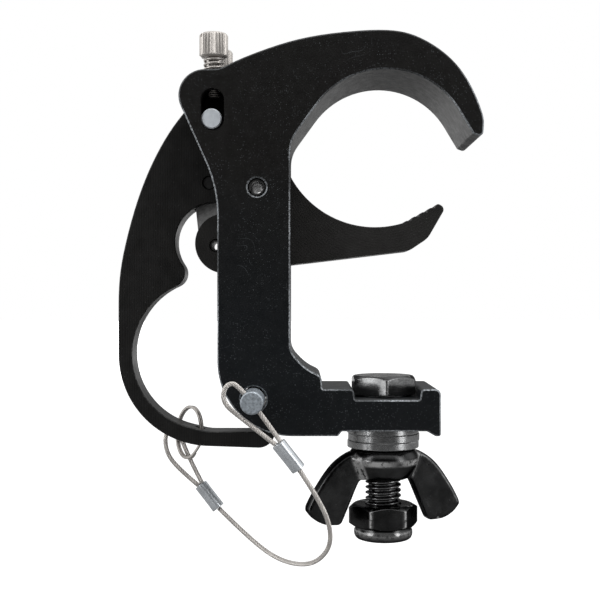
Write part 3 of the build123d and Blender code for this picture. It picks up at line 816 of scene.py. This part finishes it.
def wing_nut():
    """A cast nut: a hub that narrows downwards, and two drooping wings with thick roots.

    The pieces are melted into one skin. Its roots' shoulders are painted light, as wear and as a
    highlight, and a painted highlight runs round the hub."""
    origin = Vector((*BOLT_AXIS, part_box("wing_nut")[1].z))
    hub = lathe("hub", [(r * MM, origin.z + z * MM) for r, z in HUB], BOLT_AXIS, 96)
    outer = through([(5.6, -0.4), (9.6, -1.0), (13.5, -3.2), (16.6, -6.3), (20.1, -11.4),
                     (22.4, -15.6)])
    low_edge = through([(22.6, -16.9), (20.6, -19.2), (17.5, -20.8), (13.6, -21.15)])
    inner = through([(12.7, -20.6), (10.3, -15.2), (7.9, -9.8), (5.6, -6.4)])
    outline = outer + low_edge + inner
    parts = [hub]
    for half_turn in (0, math.pi):
        turn = Matrix.Rotation(WING_YAW + half_turn, 3, "Z")
        rings = []
        for y, inset in WING_LAYERS:
            ring = []
            for i, (x, z) in enumerate(outline):
                before, after = outline[i - 1], outline[(i + 1) % len(outline)]
                way = Vector((after[0] - before[0], after[1] - before[1])).normalized()
                x, z = x + way.y * inset, z - way.x * inset
                ring.append(turn @ mm(x, y * WING_HALF, z) + origin)
            rings.append(ring)
        parts.append(clean(skin(f"wing_{len(parts)}", rings)))
        rings = []
        for y, bulge, heights in ((-ROOT_HALF, -ROOT_BULGE, ROOT_CORNER_Z),
                                  (-WING_HALF, ROOT_BULGE, ROOT_WING_Z),
                                  (WING_HALF, ROOT_BULGE, ROOT_WING_Z),
                                  (ROOT_HALF, -ROOT_BULGE, ROOT_CORNER_Z)):
            face = [(ROOT_X + bulge + ROOT_SLANT * z, z) for z in heights]
            section = [(ROOT_START, heights[0]), *face, (ROOT_START, heights[-1])]
            rings.append([turn @ mm(x, y, z) + origin for x, z in section])
        parts.append(clean(skin(f"root_{len(parts)}", rings)))
    nut = joined("winged_nut", *parts)
    nut = applied(nut, "REMESH", mode="VOXEL", voxel_size=0.32 * MM)
    nut = applied(nut, "SMOOTH", factor=0.5, iterations=9)
    smoothed(nut.data)
    back = Matrix.Rotation(-WING_YAW, 3, "Z")

    def wear_and_highlight(co):
        """Bright on the roots' shoulders, as wear and a painted highlight, and, in patches, round
        the hub's widest part, as a painted highlight.
        """
        place = back @ (co - origin) / MM
        past = abs(place.x) - ROOT_SLANT * place.z - ROOT_X
        shoulder = (smoothstep(-1.3, -0.5, past) * smoothstep(1.4, 0.6, past)
                    * smoothstep(2.0, 2.9, abs(place.y)))
        waist = (smoothstep(-2.6, -3.3, place.z) * smoothstep(-4.9, -4.2, place.z)
                 * smoothstep(8.6, 9.2, place.xy.length))
        broken = 0.2 + 0.7 * abs(math.sin(2.5 * math.atan2(place.y, place.x) + 0.6))
        return max(shoulder, broken * waist * smoothstep(0.3, -0.7, past))

    return noted(nut, "rubbed_and_highlight", wear_and_highlight)


piece(wing_nut(), "wing_nut", "black_steel", PLATE, "wing_nut")

nut_low, nut_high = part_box("lock_nut")
NUT_HEX_H = 6.3 * MM
# The lock nut's collar, in millimetres from the bolt's axis and from the nut's low end.
COLLAR = ((6.6, 4.0), (6.6, 0.6), (6.2, 0.45), (6.1, 0.12), (6.3, 0), (6.9, 0.02), (7.45, 0.22),
          (7.85, 0.6), (8.1, 1.15), (8.2, 1.8), (8.16, 2.5), (7.9, 3.0), (7.75, 3.3), (7.75, 4.0))
nut_hex = hex_piece("nut_hex", nut_high.z - NUT_HEX_H, nut_high.z, math.radians(35), True,
                    BOLT_R + 0.1 * MM)
collar = lathe("nut_collar", [(r * MM, nut_low.z + z * MM) for r, z in COLLAR], BOLT_AXIS, 96)


def nut_wear_and_highlight(co):
    """Bright along the nut's corners, as wear and a painted highlight, and less so round its
    collar's widest part.
    """
    radius = math.hypot(co.x - BOLT_AXIS[0], co.y - BOLT_AXIS[1]) / MM
    up = (co.z - nut_low.z) / MM
    band = smoothstep(0.8, 1.6, up) * smoothstep(3.1, 2.5, up) * smoothstep(7.4, 7.9, radius)
    return max(smoothstep(9.45, 9.8, radius), 0.4 * band)


collared = evened(clean(joined("collared_nut", nut_hex, clean(collar)), 32))
piece(noted(collared, "rubbed_and_highlight", nut_wear_and_highlight), "frame", "black_steel", PLATE, "lock_nut")

# ---------------------------------------------------------------- adjusting screws and springs

FLUTES = 26
FLUTE_STEPS = 6
KNOB_H = 6.5 * MM
DRIVER_SLOT = (0.9 * MM, 1.2 * MM)  # Width and depth.
SCREW_R = 1.5 * MM
SPRING_WIRE_R = 0.33 * MM
SPRING_TURNS = 3.1
SPRING_STEPS = 240


def knob_ring(axis, radius, z, depth):
    """One ring of a fluted knob."""
    ring = []
    for k in range(FLUTES * FLUTE_STEPS):
        groove = depth * (1 - abs(2 * (k % FLUTE_STEPS) / FLUTE_STEPS - 1)) ** 1.3
        ring.append(round_point(axis, radius - groove, TAU * k / (FLUTES * FLUTE_STEPS), z))
    return ring


def slotted(knob, axis, radius, top):
    """The knob with a screwdriver's slot cut across its top."""
    cutter = mesh_object("cutter", [], [])
    mesh = bmesh.new()
    bmesh.ops.create_cube(mesh, size=1.0)
    mesh.to_mesh(cutter.data)
    mesh.free()
    wide, deep = DRIVER_SLOT
    cutter.matrix_world = (Matrix.Translation((*axis, top))
                           @ Matrix.Rotation(math.radians(35), 4, "Z")
                           @ Matrix.Diagonal((3 * radius, wide, 2 * deep, 1)))
    bpy.context.view_layer.update()
    knob = applied(knob, "BOOLEAN", object=cutter, operation="DIFFERENCE", solver="EXACT")
    bpy.data.objects.remove(cutter)
    return knob


def thumb_screw(end):
    """A fluted, slotted knob on a threaded rod. Its grooves are noted for the material, which paints
    shade in them.
    """
    node = "adjuster_screw_" + end
    middle, low, high = centre_of(node)
    axis, top, radius = (middle.x, middle.y), high.z, (high.x - low.x) / 2
    floor_z = top - KNOB_H
    knob = skin("knob_" + end, [knob_ring(axis, r, z, depth) for r, z, depth in (
        (radius * 0.55, floor_z, 0), (radius - 0.62 * MM, floor_z, 0),
        (radius - 0.5 * MM, floor_z + 0.05 * MM, 0),
        (radius - 0.12 * MM, floor_z + 0.42 * MM, 0.08 * MM),
        (radius, floor_z + 0.6 * MM, 0.3 * MM), (radius, top - 0.65 * MM, 0.3 * MM),
        (radius - 0.14 * MM, top - 0.4 * MM, 0.08 * MM),
        (radius - 0.5 * MM, top - 0.05 * MM, 0), (radius - 0.62 * MM, top, 0),
        (radius * 0.55, top, 0))])
    knob = slotted(clean(knob, 28), axis, radius, top)
    rod = thread("rod_" + end, axis, low.z, floor_z + 0.4 * MM, SCREW_R, 0.5 * MM, 8, 28)

    # Painted shade: dark at the thread's roots and, at 0.35, in the knob's flutes.
    def groove(co):
        r = math.hypot(co.x - axis[0], co.y - axis[1])
        if co.z < floor_z - 0.01 * MM:
            return 1 - smoothstep(SCREW_R - 0.28 * MM, SCREW_R - 0.05 * MM, r)
        if not floor_z + 0.5 * MM < co.z < top - 0.5 * MM:
            return 0.0
        return 0.35 * (1 - smoothstep(radius - 0.3 * MM, radius - 0.02 * MM, r))

    screw = noted(clean(joined("thumb_screw_" + end, knob, rod), 28), "groove_shade", groove)
    return piece(screw, "adjuster_" + end, "bright_nickel", NICKEL, node)


def knob_spring(end):
    """The coil under a knob, its turns a little closer at its ends."""
    node = "adjuster_spring_" + end
    axis = centre_of("adjuster_screw_" + end)[0].xy
    low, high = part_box(node)
    coil_r = (high.x - low.x) / 2 - SPRING_WIRE_R
    low_z, travel = low.z + SPRING_WIRE_R, high.z - SPRING_WIRE_R - (low.z + SPRING_WIRE_R)
    line = []
    for i in range(SPRING_STEPS + 1):
        t = i / SPRING_STEPS
        lift = smoothstep(0, 1, t) * 0.35 + t * 0.65
        line.append(round_point(axis, coil_r, TAU * SPRING_TURNS * t, low_z + travel * lift))
    spring = clean(swept("coil_" + end, line, circle(SPRING_WIRE_R, 10)))
    spring.data.materials.append(NICKEL)
    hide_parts(node)
    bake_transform(spring)


for end in ("front", "rear"):
    thumb_screw(end)
    knob_spring(end)

# ---------------------------------------------------------------- lights, floor, background

scene = bpy.context.scene
scene.view_settings.view_transform = "Standard"

world = bpy.data.worlds.new("studio")
scene.world = world
world.use_nodes = True
sky = world.node_tree
# The studio is light behind the clamp, at both sides and overhead, and dark in front, so the black
# faces stay black. Where it is seen directly it is plain white.
direction = put(sky, "ShaderNodeTexCoord").outputs["Generated"]
side, back, up = put(sky, "ShaderNodeSeparateXYZ", {0: direction}).outputs
behind = times(sky, ramp(sky, back, -0.15, 0.25), ramp(sky, up, -0.05, 0.12, 1.0, 0.3))
aside = ramp(sky, math_node(sky, "ABSOLUTE", side), 0.68, 0.82, 0.03, 1.0)
overhead = ramp(sky, up, 0.35, 0.7, 0.0, 0.9)
level = larger(sky, larger(sky, behind, aside), overhead)
seen = put(sky, "ShaderNodeLightPath").outputs["Is Camera Ray"]
sky.links.new(larger(sky, level, seen), sky.nodes["Background"].inputs["Strength"])
sky.nodes["Background"].inputs["Color"].default_value = (1, 1, 1, 1)


def softbox(name, place, target, width, height, watts):
    """A square-edged soft light that looks at a point."""
    data = bpy.data.lights.new(name, "AREA")
    data.shape, data.size, data.size_y, data.energy = "RECTANGLE", width, height, watts
    light = linked(name, data)
    light.location = place
    light.rotation_euler = (target - Vector(place)).to_track_quat("-Z", "Y").to_euler()


clamp_centre = (cad_box[0] + cad_box[1]) / 2
softbox("top", (0.1, -0.25, 0.8), clamp_centre, 0.8, 0.4, 3.0)
softbox("left", (-0.62, -0.42, 0.05), clamp_centre, 0.22, 0.9, 2.4)
softbox("right", (0.60, -0.40, 0.05), clamp_centre, 0.22, 0.9, 2.4)

FLOOR_Z = cad_box[0].z - 0.05
FLOOR_CORNERS = ((-6, -0.45), (6, -0.45), (6, 6), (-6, 6))
floor = mesh_object("floor", [(x, y, FLOOR_Z) for x, y in FLOOR_CORNERS], [(0, 1, 2, 3)])


def floor_material():
    """White where it is seen directly, and lit far behind the clamp for the metal to mirror."""
    made, tree, shader = new_material("floor")
    connect(tree, shader, color=grey(0.2), roughness=0.9)
    shader.inputs["Emission Color"].default_value = (1, 1, 1, 1)
    ground = put(tree, "ShaderNodeSeparateXYZ", {0: coordinates(tree)}).outputs
    far = times(tree, ramp(tree, ground[1], 0.6, 1.4), ramp(tree, ground[0], 0.0, -0.4, 0.9, 2.0))
    glow = larger(tree, put(tree, "ShaderNodeLightPath").outputs["Is Camera Ray"], far)
    tree.links.new(glow, shader.inputs["Emission Strength"])
    return made


floor.data.materials.append(floor_material())
